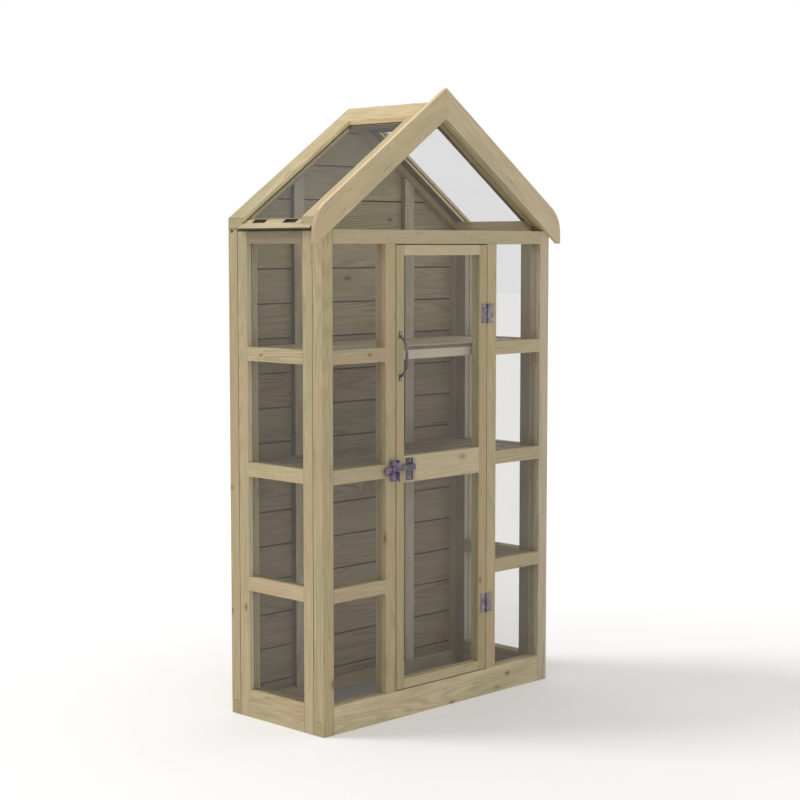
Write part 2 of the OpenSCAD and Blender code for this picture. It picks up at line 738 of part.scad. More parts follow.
// Falling lever: spindle, nose between the jaws and thumb paddle beside them.
module latch_lever() color(zinc) place() {
  nose_z = bar_z1 + 0.5;
  x0 = catch_x0 + latch_t + 0.5;
  x1 = catch_x1 - latch_t - 0.5;
  out = catch_x0 - 2;
  translate([out - latch_t, spindle_y, spindle_z]) rotate([0, 90, 0])
    cylinder(h = catch_x1 + 1.5 - out + latch_t, r = spindle_r);
  difference() {
    union() {
      translate([x0, spindle_y, spindle_z]) rotate([0, 90, 0]) cylinder(h = x1 - x0, r = 4.6);
      block([x0, -jaw_reach - 1, nose_z + 4], [x1, spindle_y, spindle_z + 4]);
      block([x0, -jaw_reach - 1, nose_z], [x1, -jaw_reach + 4, nose_z + 6]);
    }
    block([x0 - 1, spindle_y + 4.9, nose_z - 1], [x1 + 1, 0, spindle_z + 9]);
  }
  block([out - latch_t, spindle_y - 4, spindle_z - 5], [out, spindle_y + 3, spindle_z + 4]);
  block([out - latch_t, spindle_y - 4, latch_z - 7 - paddle_h / 2], [out, spindle_y - 1, spindle_z]);
  translate([out - paddle_w / 2, spindle_y - 1, latch_z - 7]) rotate([90, 0, 0])
    intersection() {
      cylinder(h = 3, r = paddle_w / 2 + 1.5);
      translate([-paddle_w / 2, -paddle_h / 2, 0]) cube([paddle_w, paddle_h, 3]);
    }
}

// Striker: flanged plate on the lock rail with a bar that reaches into the catch.
module latch_striker() color(zinc) place() {
  z0 = lock_rail_z + 6;
  z1 = lock_rail_z + lock_rail_h - 7;
  difference() {
    union() {
      block([plate_x0, -latch_t, z0], [plate_x1, 0, z1]);
      block([plate_x1 - latch_t, -bar_set - 2, z0], [plate_x1, 0, z1]);
      block([plate_x0, -bar_set - 1, bar_z0], [plate_x1, 0, bar_z1]);
      block([catch_x0 - 0.5, -bar_set - bar_t, bar_z0], [plate_x1, -bar_set, bar_z1]);
    }
    striker_screws(true);
  }
}

// Screws; the same positions drill the plates and the timber.
module screw(drill) {
  rotate([90, 0, 0]) {
    if (drill) {
      translate([0, 0, -screw_l - 0.5]) cylinder(h = screw_l + latch_t + 3, r = screw_r + 0.1);
    } else {
      translate([0, 0, -screw_l]) cylinder(h = screw_l + hinge_t + 0.3, r = screw_r);
      cylinder(h = head_h, r = head_r);
    }
  }
}
module at(points, lift, drill) {
  for (p = points)
    if (drill) translate([p[0], 0, p[1]]) screw(true);
    else translate([p[0], 0, p[1]]) {
      translate([0, -lift, 0]) rotate([90, 0, 0]) cylinder(h = head_h, r = head_r);
      translate([0, screw_l, 0]) rotate([90, 0, 0]) cylinder(h = screw_l + lift + 0.5, r = screw_r);
    }
}
module hinge_screws(s, drill) {
  for (z = [low_hinge_z, high_hinge_z])
    at([for (a = [-1, 1], b = [0, 1]) [door_half + s * (12 + b * 9), z + a * (14 + b * 10)]],
       hinge_t, drill);
}
module catch_screws(drill) {
  xc = (catch_x0 + catch_x1) / 2;
  at([[xc, catch_z0 + 6], [xc, catch_z0 + catch_h - 4.5]], latch_t, drill);
}
module handle_screws(drill) {
  at([[handle_x, handle_z - handle_l / 2 - 4.5], [handle_x, handle_z + handle_l / 2 + 4.5]],
     latch_t, drill);
}
module striker_screws(drill) {
  xc = (plate_x0 + plate_x1) / 2;
  at([[xc, lock_rail_z + 14], [xc, lock_rail_z + lock_rail_h - 15]], latch_t, drill);
}
module cabinet_screws() color(zinc) place() {
  hinge_screws(1, false);
  catch_screws(false);
}
module door_screws() color(zinc) place() {
  hinge_screws(-1, false);
  handle_screws(false);
  striker_screws(false);
}

front_left_post();
front_right_post();
rear_left_post();
rear_right_post();
front_bottom_rail();
head_rail();
left_jamb();
right_jamb();
front_left_window_rails();
front_right_window_rails();
front_left_panes();
front_right_panes();
left_side_stiles();
right_side_stiles();
left_side_window_rails();
right_side_window_rails();
side_bottom_rails();
side_top_rails();
left_side_panes();
right_side_panes();
eaves_plates();
rear_sill();
rear_boards();
rear_battens();
front_left_rafter();
front_right_rafter();
rear_left_rafter();
rear_right_rafter();
gable_pane();
left_bargeboard();
right_bargeboard();
fixed_roof_top_rail();
fixed_roof_stiles();
fixed_roof_bottom_rail();
fixed_roof_pane();
roof_light_top_rail();
roof_light_stiles();
roof_light_bottom_rail();
roof_light_pane();
ridge_hinge_fixed_leaves();
ridge_hinge_light_leaves();
hinge_pins();
shelf_bearers();
upper_shelf_slats();
lower_shelf_slats();
door_stops();
door_hinge_frame_leaves();
door_hinge_door_leaves();
door_left_stile();
door_right_stile();
door_top_rail();
door_lock_rail();
door_bottom_rail();
door_panes();
bow_handle();
latch_catch();
latch_lever();
latch_striker();
cabinet_screws();
door_screws();
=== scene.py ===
import math
import bmesh
import bpy
from mathutils import Euler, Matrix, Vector


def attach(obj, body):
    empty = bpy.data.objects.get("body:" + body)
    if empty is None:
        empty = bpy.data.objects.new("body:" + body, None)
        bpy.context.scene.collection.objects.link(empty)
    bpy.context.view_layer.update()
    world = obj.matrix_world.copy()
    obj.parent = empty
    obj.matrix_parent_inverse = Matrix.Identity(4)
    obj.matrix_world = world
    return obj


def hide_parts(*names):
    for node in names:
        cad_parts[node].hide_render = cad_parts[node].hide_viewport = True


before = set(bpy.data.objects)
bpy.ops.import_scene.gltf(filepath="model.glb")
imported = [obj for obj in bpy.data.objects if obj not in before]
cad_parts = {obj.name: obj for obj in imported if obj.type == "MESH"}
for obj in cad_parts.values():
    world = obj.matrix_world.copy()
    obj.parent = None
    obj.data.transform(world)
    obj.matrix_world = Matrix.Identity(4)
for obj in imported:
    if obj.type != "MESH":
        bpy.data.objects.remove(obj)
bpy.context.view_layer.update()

# ---------------------------------------------------------------- corner posts
# Four 45 mm square posts of pressure-treated pine, planed on four sides with
# eased edges. The front pair is slotted at the foot for the bottom rail's
# tenon, the rear pair for the sill.


def linear(hex_colour):
    """sRGB hex to the linear colour that a shader takes."""
    parts = [int(hex_colour[i:i + 2], 16) / 255 for i in (1, 3, 5)]
    return [c / 12.92 if c <= 0.04045 else ((c + 0.055) / 1.055) ** 2.4 for c in parts] + [1.0]


def add(tree, kind, settings=None, links=None):
    """Adds one shader node with its settings and its links."""
    made = tree.nodes.new(kind)
    for key, value in (settings or {}).items():
        if isinstance(key, int) or key in made.inputs:
            made.inputs[key].default_value = value
        else:
            setattr(made, key, value)
    for key, source in (links or {}).items():
        tree.links.new(source, made.inputs[key])
    return made


def new_material(name):
    """A material with an empty node tree, and that tree."""
    mat = bpy.data.materials.new(name)
    mat.use_nodes = True
    mat.node_tree.nodes.clear()
    return mat, mat.node_tree


def treated_pine(name, turn, early="#bfae8a", late="#a5946f", green="#a9a380", rose="#bca084",
                 ring_mm=5.0, knots=0.3, dry=0.64, marks=(), holes=(), depth=1.0,
                 figure=1.0, butt_shade=0.8, joints=None, eaves_shade=None):
    """Planed pine, pressure treated: pale yellow-grey wood with soft growth lines, green and
    rose patches, small brown knots and a dry, slightly fibrous surface.

    turn brings the grain to the texture's Z. early and late are the wood between and on the
    growth lines, green and rose its patches, ring_mm the lines' pitch, knots the share of
    places with a stray knot and dry the roughness. marks are the knots and holes the open
    screw holes that this timber really shows, painted dark for the shade in them: x, y, z and
    radius in metres. depth is how strongly knots show, figure the growth lines and patches,
    and butt_shade the painted shade round sawn ends. joints are the pitch and first height of
    level joints painted dark for their soiling and shade, and eaves_shade the heights between
    which a painted shadow grows to its full."""
    mat, tree = new_material(name)
    turned = [math.radians(a) for a in turn]
    place = add(tree, "ShaderNodeTexCoord")
    along = add(tree, "ShaderNodeVectorRotate", {"rotation_type": "EULER_XYZ", "Rotation": turned},
                {"Vector": place.outputs["Object"]})
    # every stick is cut from another place in the log, up to 7 m further along
    island = add(tree, "ShaderNodeNewGeometry")
    which = add(tree, "ShaderNodeObjectInfo")
    stick = add(tree, "ShaderNodeMath", {"operation": "ADD"},
                {0: island.outputs["Random Per Island"], 1: which.outputs["Random"]})
    draw = add(tree, "ShaderNodeTexWhiteNoise", {"noise_dimensions": "1D"},
               {"W": stick.outputs[0]})
    shift = add(tree, "ShaderNodeVectorMath", {"operation": "MULTIPLY", 1: (3.1, 2.7, 7.0)},
                {0: draw.outputs["Color"]})
    log = add(tree, "ShaderNodeVectorMath", {"operation": "ADD"},
              {0: along.outputs[0], 1: shift.outputs[0]})

    # stray knots: branches 10 to 16 mm across, one in a metre or so of stick
    cells = add(tree, "ShaderNodeVectorMath", {"operation": "MULTIPLY", 1: (9.0, 9.0, 4.0)},
                {0: log.outputs[0]})
    branch = add(tree, "ShaderNodeTexVoronoi", {"Scale": 1.0, "Randomness": 0.9},
                 {"Vector": cells.outputs[0]})
    chosen = add(tree, "ShaderNodeSeparateColor", {}, {0: branch.outputs["Color"]})
    absent = add(tree, "ShaderNodeMath", {"operation": "GREATER_THAN", 1: knots},
                 {0: chosen.outputs[0]})
    size = add(tree, "ShaderNodeMapRange", {3: 0.05, 4: 0.085}, {0: chosen.outputs[1]})
    reach = add(tree, "ShaderNodeMath", {"operation": "DIVIDE"},
                {0: branch.outputs["Distance"], 1: size.outputs[0]})
    out_of_reach = 50.0
    away = add(tree, "ShaderNodeMath", {"operation": "MULTIPLY_ADD", 1: out_of_reach},
               {0: absent.outputs[0], 2: reach.outputs[0]})
    # a knot is longer along the grain, as planing cuts the branch at a slant
    squeeze = (1.0, 1.0, 0.62)
    oval = add(tree, "ShaderNodeVectorMath", {"operation": "MULTIPLY", 1: squeeze},
               {0: along.outputs[0]})
    for (x, y, z, radius) in marks:
        spot = Vector((x, y, z))
        spot.rotate(Euler(turned, "XYZ"))
        here = add(tree, "ShaderNodeVectorMath",
                   {"operation": "DISTANCE", 1: [c * k for c, k in zip(spot, squeeze)]},
                   {0: oval.outputs[0]})
        scaled = add(tree, "ShaderNodeMath", {"operation": "DIVIDE", 1: radius},
                     {0: here.outputs["Value"]})
        away = add(tree, "ShaderNodeMath", {"operation": "MINIMUM"},
                   {0: away.outputs[0], 1: scaled.outputs[0]})
    # the growth lines bend round a knot within four times its radius
    swirl = add(tree, "ShaderNodeMapRange",
                {"interpolation_type": "SMOOTHSTEP", 1: 4.0, 2: 0.4, 3: 0.0, 4: 0.3},
                {0: away.outputs[0]})

    # growth lines: the level lines of a slow noise, drawn out along the stick. The noise takes
    # about 111 mm for a step of 1 and the sine wave 2 pi for a line, which makes 700.
    wave_per_step = 700.0
    slow = add(tree, "ShaderNodeVectorMath", {"operation": "MULTIPLY", 1: (13.0, 13.0, 0.75)},
               {0: log.outputs[0]})
    heart = add(tree, "ShaderNodeTexNoise", {"Scale": 1.0, "Detail": 1.0, "Roughness": 0.4},
                {"Vector": slow.outputs[0]})
    bent = add(tree, "ShaderNodeMath", {"operation": "ADD"},
               {0: heart.outputs["Fac"], 1: swirl.outputs[0]})
    years = add(tree, "ShaderNodeMath", {"operation": "MULTIPLY", 1: wave_per_step / ring_mm},
                {0: bent.outputs[0]})
    wave = add(tree, "ShaderNodeMath", {"operation": "SINE"}, {0: years.outputs[0]})
    clear_stretch = add(tree, "ShaderNodeTexNoise", {"Scale": 0.45, "Detail": 1.0},
                        {"Vector": slow.outputs[0]})
    drawn = add(tree, "ShaderNodeMapRange", {1: 0.4, 2: 0.62, 3: 0.12 * figure, 4: 0.75 * figure},
                {0: clear_stretch.outputs["Fac"]})
    line = add(tree, "ShaderNodeMapRange", {1: -0.4, 2: 1.0, 3: 0.0, 4: 1.0},
               {0: wave.outputs[0]})
    ring_tone = add(tree, "ShaderNodeMath", {"operation": "MULTIPLY"},
                    {0: line.outputs[0], 1: drawn.outputs[0]})
    wood = add(tree, "ShaderNodeMix", {"data_type": "RGBA", 6: linear(early), 7: linear(late)},
               {0: ring_tone.outputs[0]})

    # broad patches where the treatment shows green or the heartwood shows rose
    broad = add(tree, "ShaderNodeVectorMath", {"operation": "MULTIPLY", 1: (11.0, 11.0, 2.4)},
                {0: log.outputs[0]})
    patch = add(tree, "ShaderNodeTexNoise", {"Scale": 1.0, "Detail": 3.0, "Roughness": 0.55},
                {"Vector": broad.outputs[0]})
    greener = add(tree, "ShaderNodeMapRange", {1: 0.5, 2: 0.66, 3: 0.0, 4: 0.6 * figure},
                  {0: patch.outputs["Fac"]})
    wood = add(tree, "ShaderNodeMix", {"data_type": "RGBA", 7: linear(green)},
               {0: greener.outputs[0], 6: wood.outputs[2]})
    rosier = add(tree, "ShaderNodeMapRange", {1: 0.49, 2: 0.34, 3: 0.0, 4: 0.55 * figure},
                 {0: patch.outputs["Fac"]})
    wood = add(tree, "ShaderNodeMix", {"data_type": "RGBA", 7: linear(rose)},
               {0: rosier.outputs[0], 6: wood.outputs[2]})

    # fibres about 2 mm wide, coarser than the real 0.3 mm so that they show
    hair = add(tree, "ShaderNodeVectorMath", {"operation": "MULTIPLY", 1: (420.0, 420.0, 9.0)},
               {0: log.outputs[0]})
    fibre = add(tree, "ShaderNodeTexNoise", {"Scale": 1.0, "Detail": 3.0, "Roughness": 0.6},
                {"Vector": hair.outputs[0]})
    shade = add(tree, "ShaderNodeMapRange", {1: 0.3, 2: 0.7, 3: 0.87, 4: 1.1},
                {0: fibre.outputs["Fac"]})
    lot = add(tree, "ShaderNodeMapRange", {3: 0.95, 4: 1.05}, {0: draw.outputs["Value"]})
    both = add(tree, "ShaderNodeMath", {"operation": "MULTIPLY"},
               {0: shade.outputs[0], 1: lot.outputs[0]})
    # resin streaks and planer ticks, 2 mm wide and a few centimetres long
    short = add(tree, "ShaderNodeVectorMath", {"operation": "MULTIPLY", 1: (150.0, 150.0, 14.0)},
                {0: log.outputs[0]})
    tick = add(tree, "ShaderNodeTexNoise", {"Scale": 1.0, "Detail": 2.0, "Roughness": 0.5},
               {"Vector": short.outputs[0]})
    streak = add(tree, "ShaderNodeMapRange", {1: 0.64, 2: 0.74, 3: 1.0, 4: 0.74},
                 {0: tick.outputs["Fac"]})
    both = add(tree, "ShaderNodeMath", {"operation": "MULTIPLY"},
               {0: both.outputs[0], 1: streak.outputs[0]})
    wood = add(tree, "ShaderNodeVectorMath", {"operation": "SCALE"},
               {0: wood.outputs[2], "Scale": both.outputs[0]})

    # knots: a brown heart with a darker, broken rim, and darker wood about it
    halo = add(tree, "ShaderNodeMapRange", {1: 2.6, 2: 1.0, 3: 0.0, 4: 0.35 * depth},
               {0: away.outputs[0]})
    wood = add(tree, "ShaderNodeMix", {"data_type": "RGBA", 7: linear("#927a54")},
               {0: halo.outputs[0], 6: wood.outputs[0]})
    rim = add(tree, "ShaderNodeMapRange", {1: 1.15, 2: 0.8, 3: 0.0, 4: 0.62 * depth},
              {0: away.outputs[0]})
    wood = add(tree, "ShaderNodeMix", {"data_type": "RGBA", 7: linear("#634d33")},
               {0: rim.outputs[0], 6: wood.outputs[2]})
    core = add(tree, "ShaderNodeMapRange", {1: 0.8, 2: 0.35, 3: 0.0, 4: 0.65 * depth},
               {0: away.outputs[0]})
    wood = add(tree, "ShaderNodeMix", {"data_type": "RGBA", 7: linear("#8d7048")},
               {0: core.outputs[0], 6: wood.outputs[2]})

    # sawn ends drink more of the treatment and are darker
    facing = add(tree, "ShaderNodeVectorRotate",
                 {"rotation_type": "EULER_XYZ", "Rotation": turned},
                 {"Vector": place.outputs["Normal"]})
    axis = add(tree, "ShaderNodeSeparateXYZ", {}, {0: facing.outputs[0]})
    cut = add(tree, "ShaderNodeMath", {"operation": "ABSOLUTE"}, {0: axis.outputs[2]})
    end = add(tree, "ShaderNodeMapRange", {1: 0.74, 2: 0.9, 3: 0.0, 4: 0.55},
              {0: cut.outputs[0]})
    wood = add(tree, "ShaderNodeMix", {"data_type": "RGBA", 7: linear("#8f7f58")},
               {0: end.outputs[0], 6: wood.outputs[2]})
    # the arris round each sawn end is painted dark as shade, so that a butt joint shows as a fine
    # line
    near = add(tree, "ShaderNodeMapRange", {1: 0.12, 2: 0.4, 3: 0.0, 4: butt_shade},
               {0: cut.outputs[0]})
    past = add(tree, "ShaderNodeMapRange", {1: 0.81, 2: 0.7, 3: 0.0, 4: 1.0},
               {0: cut.outputs[0]})
    butt_joint_shade = add(tree, "ShaderNodeMath", {"operation": "MULTIPLY"},
                {0: near.outputs[0], 1: past.outputs[0]})
    wood = add(tree, "ShaderNodeMix", {"data_type": "RGBA", 7: linear("#4a3d25")},
               {0: butt_joint_shade.outputs[0], 6: wood.outputs[2]})
    # an open hole is painted dark to the edge and nearly black inside, as the shade in it
    for (x, y, z, radius) in holes:
        there = add(tree, "ShaderNodeVectorMath", {"operation": "DISTANCE", 1: (x, y, z)},
                    {0: place.outputs["Object"]})
        hole_shade = add(tree, "ShaderNodeMapRange", {1: radius, 2: radius * 0.7, 3: 0.0, 4: 0.9},
                        {0: there.outputs["Value"]})
        wood = add(tree, "ShaderNodeMix", {"data_type": "RGBA", 7: linear("#1d150b")},
                   {0: hole_shade.outputs[0], 6: wood.outputs[2]})
    if joints:
        # level joints are painted dark, 3 to 6 mm wide, for the dirt they gather and the shade in
        # them
        pitch, first = joints
        height = add(tree, "ShaderNodeSeparateXYZ", {}, {0: place.outputs["Object"]})
        raised = add(tree, "ShaderNodeMath", {"operation": "SUBTRACT", 1: first - pitch / 2},
                     {0: height.outputs[2]})
        share = add(tree, "ShaderNodeMath", {"operation": "DIVIDE", 1: pitch},
                    {0: raised.outputs[0]})
        within = add(tree, "ShaderNodeMath", {"operation": "FRACT"}, {0: share.outputs[0]})
        middle = add(tree, "ShaderNodeMath", {"operation": "SUBTRACT", 1: 0.5},
                     {0: within.outputs[0]})
        apart = add(tree, "ShaderNodeMath", {"operation": "ABSOLUTE"}, {0: middle.outputs[0]})
        dirt_and_shade = add(tree, "ShaderNodeMapRange",
                   {1: 0.0032 / pitch, 2: 0.0014 / pitch, 3: 0.0, 4: 0.85},
                   {0: apart.outputs[0]})
        wood = add(tree, "ShaderNodeMix", {"data_type": "RGBA", 7: linear("#2f281b")},
                   {0: dirt_and_shade.outputs[0], 6: wood.outputs[2]})
    if eaves_shade:
        # a band of painted shadow along an edge
        height = add(tree, "ShaderNodeSeparateXYZ", {}, {0: place.outputs["Object"]})
        shade_band = add(tree, "ShaderNodeMapRange", {1: eaves_shade[0], 2: eaves_shade[1], 3: 0.0, 4: 0.92},
                       {0: height.outputs[2]})
        wood = add(tree, "ShaderNodeMix", {"data_type": "RGBA", 7: linear("#2d2615")},
                   {0: shade_band.outputs[0], 6: wood.outputs[2]})

    rough = add(tree, "ShaderNodeMapRange", {1: 0.3, 2: 0.7, 3: dry - 0.06, 4: dry + 0.1},
                {0: fibre.outputs["Fac"]})
    relief = add(tree, "ShaderNodeMath", {"operation": "MULTIPLY_ADD", 1: 0.5},
                 {0: line.outputs[0], 2: fibre.outputs["Fac"]})
    raised_grain = add(tree, "ShaderNodeBump", {"Strength": 0.3, "Distance": 0.0004},
                       {"Height": relief.outputs[0]})
    skin = add(tree, "ShaderNodeBsdfPrincipled", {"IOR": 1.45, "Specular IOR Level": 0.3},
               {"Base Color": wood.outputs[2], "Roughness": rough.outputs[0],
                "Normal": raised_grain.outputs[0]})
    add(tree, "ShaderNodeOutputMaterial", {}, {"Surface": skin.outputs[0]})
    return mat


def eased(node, finish, slot, ease=0.0012, body="cabinet"):
    """The node's own solid with its arrises taken off by ease metres, as a planer leaves them."""
    shape = bmesh.new()
    shape.from_mesh(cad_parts[node].data)
    bmesh.ops.remove_doubles(shape, verts=shape.verts, dist=1e-6)
    bmesh.ops.dissolve_limit(shape, angle_limit=math.radians(0.5), verts=shape.verts,
                             edges=shape.edges)
    sharp = [e for e in shape.edges if e.is_manifold and e.calc_face_angle(0) > math.radians(25)]
    bmesh.ops.bevel(shape, geom=sharp, offset=ease, offset_type="OFFSET", segments=2,
                    profile=0.5, affect="EDGES", clamp_overlap=True)
    mesh = bpy.data.meshes.new(node + "_piece")
    shape.to_mesh(mesh)
    shape.free()
    piece = bpy.data.objects.new(node + "_piece", mesh)
    bpy.context.scene.collection.objects.link(piece)
    mesh.materials.append(finish)
    if slot != "horticultural_glass":
        # round arrises on flat faces: the large faces keep their own direction
        mesh.shade_smooth()
        mesh.set_sharp_from_angle(angle=math.radians(50))
        level = piece.modifiers.new("flat_faces", "WEIGHTED_NORMAL")
        level.keep_sharp = True
        level.weight = 90
    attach(piece, body)
    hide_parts(node)
    return piece


def reface(piece, finish, chosen):
    """Gives the faces that chosen(centre, normal) picks a second finish."""
    piece.data.materials.append(finish)
    last = len(piece.data.materials) - 1
    for face in piece.data.polygons:
        if chosen(face.center, face.normal):
            face.material_index = last


# the grain runs up the posts, and they carry the knots and the one open screw hole that the
# photograph shows; the front right one has weathered greyer
UPRIGHT = (0, 0, 0)
post_marks = [(-0.54, 0.2369, 0.3426, 0.0045), (-0.4965, -0.205, 0.1628, 0.0085),
              (-0.54, 0.232, 0.75, 0.004)]
# the open screw hole is painted dark for the shade inside it
post_pine = treated_pine("treated_pine_upright", UPRIGHT, early="#bcac87", marks=post_marks,
                         holes=[(-0.54, 0.222, 1.587, 0.0075)])
grey_post_pine = treated_pine("greyed_pine_upright", UPRIGHT, early="#c7bba3", late="#aea085",
                              green="#b5ad95", rose="#c3ad96")
# a line of painted shade makes the joints between posts and side frames show
joint_shade_line = treated_pine("frame_joint_painted_shade", UPRIGHT, early="#5a4b2f", late="#4c3f27",
                          green="#524a2c", rose="#57452c", knots=0.0)


# how far the cabinet's outer sides are from the middle, and where along them a side frame
# meets the front and the rear post
SIDE_FACE = 0.54
SIDE_JOINTS = (-0.16, 0.195)


def beside_joint(centre, normal):
    """Picks the arrises that meet on the sides, where a side frame stands between two posts."""
    return (abs(centre.x) > SIDE_FACE - 0.0015 and abs(normal.x) < 0.98
            and min(abs(centre.y - joint) for joint in SIDE_JOINTS) < 0.002)


# the glazing grooves' walls are painted pale, a painted light that lifts the shade inside them
groove_light = treated_pine("groove_painted_light", UPRIGHT, early="#fdf6e2", late="#f0e6c9",
                            green="#f4edd3", rose="#f8eed9", knots=0.0)


WINDOW_GROOVE = -0.1807


def in_front_groove(centre, normal):
    """Picks the groove wall behind the front windows' glass."""
    return normal.y < -0.9 and abs(centre.y - WINDOW_GROOVE) < 0.0003


for post, finish in (("front_left_post", post_pine), ("rear_left_post", post_pine),
                     ("rear_right_post", post_pine), ("front_right_post", grey_post_pine)):
    piece = eased(post, finish, "frame_softwood")
    reface(piece, joint_shade_line, beside_joint)
    reface(piece, groove_light, in_front_groove)

# ---------------------------------------------------------------- foot and head
# The front bottom rail and the rear sill are tenoned right through the posts,
# so their end grain shows on the sides. The head rail ties the posts over the
# door and carries the gable glass.
ACROSS = (0, -90, 0)
rail_marks = [(-0.3347, -0.205, 1.1948, 0.004), (0.3311, -0.205, 0.0561, 0.006)]
# the foot is paler than the rails above it, and the sill lies between them
foot_pine = treated_pine("pale_pine_level", ACROSS, early="#dccda8", late="#c5b28f",
                         marks=rail_marks)
rail_pine = treated_pine("treated_pine_level", ACROSS, early="#b8a98a", late="#9f906e",
                         marks=rail_marks)
sill_pine = treated_pine("pale_pine_sill", ACROSS, early="#cebd98", late="#b8a682")
eased("front_bottom_rail", foot_pine, "frame_softwood")
eased("head_rail", rail_pine, "frame_softwood")
eased("rear_sill", sill_pine, "back_softwood")

# ---------------------------------------------------------------- door jambs
# Two uprights between the bottom rail and the head rail, grooved for the
# window panes. The right one carries the hinges, the left one the catch.
for jamb in ("left_jamb", "right_jamb"):
    reface(eased(jamb, post_pine, "frame_softwood"), groove_light, in_front_groove)

# ---------------------------------------------------------------- window rails
# Short rails tongued between post and jamb, three to a window, which hold the
# four panes one above the other.
for rails in ("front_left_window_rails", "front_right_window_rails"):
    eased(rails, rail_pine, "frame_softwood")

# ---------------------------------------------------------------- side frames
# Each side is a frame of its own, two stiles with rails between them, screwed
# between the front and rear posts. The joints show as fine upright lines.
DEEP = (90, 0, 0)
# both stiles and top rails carry a painted shadow for the last 2 mm under the eaves
EAVES_SHADOW = (1.5835, 1.5857)
side_pine = treated_pine("treated_pine_side_rail", DEEP, early="#c6b591",
                         marks=[(-0.54, 0.0828, 1.1912, 0.0035)])
stile_pine = treated_pine("treated_pine_side_stile", UPRIGHT, eaves_shade=EAVES_SHADOW,
                          marks=[(-0.54, 0.1656, 0.3631, 0.006)])
# the top rails are painted darker for the shadow that the roof's overhang casts on them
top_rail_shadow_pine = treated_pine("side_top_rail_painted_shadow", DEEP, early="#9a8c73", late="#85775e",
                             green="#8b836a", rose="#9a8470", eaves_shade=EAVES_SHADOW)
# the glazing rebates face the front and are painted lighter for the light they catch, the left
# ones most
painted_light_pine = {"left": treated_pine("left_rebate_painted_light", UPRIGHT, early="#d7ccb0",
                                   late="#bfb291", green="#c7bfa1", rose="#cfbda4"),
              "right": treated_pine("right_rebate_painted_light", UPRIGHT, early="#c4b99d",
                                    late="#afa281", green="#b6ae90", rose="#bdac92")}
# the right stiles' inner faces are painted darker for their shade
stile_shade_pine = treated_pine("side_stile_painted_shade", UPRIGHT, early="#a69a7e",
                              late="#8f8468", green="#958c6d", rose="#a18f73")
# how far the middle of the side glass is from the cabinet's middle, with its groove's walls
# 2.3 mm on either side
SIDE_GLASS = 0.518
for hand in ("left", "right"):
    stiles = eased(f"{hand}_side_stiles", stile_pine, "frame_softwood")
    reface(stiles, painted_light_pine[hand], lambda centre, normal: normal.y < -0.9)
    reface(stiles, joint_shade_line, beside_joint)
    reface(stiles, groove_light, lambda centre, normal:
           normal.x < -0.9 and abs(abs(centre.x) - SIDE_GLASS) < 0.0026)
    if hand == "right":
        reface(stiles, stile_shade_pine,
               lambda centre, normal: normal.x < -0.9 and centre.x < 0.5)
for rails in ("side_bottom_rails", "left_side_window_rails", "right_side_window_rails",
              "eaves_plates"):
    eased(rails, side_pine, "frame_softwood")
# the top rails' lower arrises are painted pale as a highlight
reface(eased("side_top_rails", top_rail_shadow_pine, "frame_softwood", ease=0.0018), painted_light_pine["left"],
       lambda centre, normal: -0.9 < normal.z < -0.25 and abs(normal.x) > 0.25)

# ---------------------------------------------------------------- glass
# Clear 4 mm horticultural glass, cut and set dry in the grooves: float glass
# with polished faces and a film of dust.


def float_glass(name, body="#f8f8f8", in_shadow="#8f918e", shine="#e0e0e2"):
    """Float glass 4 mm thick: clear with a faint grey body, one polished reflection and a
    film of dust that greys what stands behind it. in_shadow is what each face lets through
    of a lamp's light, less than the eye sees through, as for dusty glass at a slant."""
    mat, tree = new_material(name)
    place = add(tree, "ShaderNodeTexCoord")
    film = add(tree, "ShaderNodeTexNoise", {"Scale": 9.0, "Detail": 3.0},
               {"Vector": place.outputs["Object"]})
    haze = add(tree, "ShaderNodeMapRange", {1: 0.35, 2: 0.7, 3: 0.01, 4: 0.06},
               {0: film.outputs["Fac"]})
    settled = add(tree, "ShaderNodeMapRange", {1: 0.35, 2: 0.7, 3: 0.009, 4: 0.02},
                  {0: film.outputs["Fac"]})
    clear = add(tree, "ShaderNodeBsdfTransparent", {"Color": linear(body)})
    dust = add(tree, "ShaderNodeBsdfDiffuse", {"Color": linear("#e2e6ec")})
    through = add(tree, "ShaderNodeMixShader", {},
                  {0: settled.outputs[0], 1: clear.outputs[0], 2: dust.outputs[0]})
    polish = add(tree, "ShaderNodeBsdfGlossy", {"Color": linear(shine)},
                 {"Roughness": haze.outputs[0]})
    side = add(tree, "ShaderNodeNewGeometry")
    mirror = add(tree, "ShaderNodeFresnel", {"IOR": 1.45})
    outer = add(tree, "ShaderNodeMath", {"operation": "SUBTRACT", 0: 1.0},
                {1: side.outputs["Backfacing"]})
    share = add(tree, "ShaderNodeMath", {"operation": "MULTIPLY"},
                {0: mirror.outputs[0], 1: outer.outputs[0]})
    pane = add(tree, "ShaderNodeMixShader", {},
               {0: share.outputs[0], 1: through.outputs[0], 2: polish.outputs[0]})
    path = add(tree, "ShaderNodeLightPath")
    dim = add(tree, "ShaderNodeBsdfTransparent", {"Color": linear(in_shadow)})
    lamps_pass = add(tree, "ShaderNodeMixShader", {},
                     {0: path.outputs["Is Shadow Ray"], 1: pane.outputs[0], 2: dim.outputs[0]})
    add(tree, "ShaderNodeOutputMaterial", {}, {"Surface": lamps_pass.outputs[0]})
    return mat


def glazed(node, finish, body="cabinet"):
    """Panes keep their exact solids, with the sharp edge of cut glass taken off."""
    return eased(node, finish, "horticultural_glass", ease=0.0004, body=body)


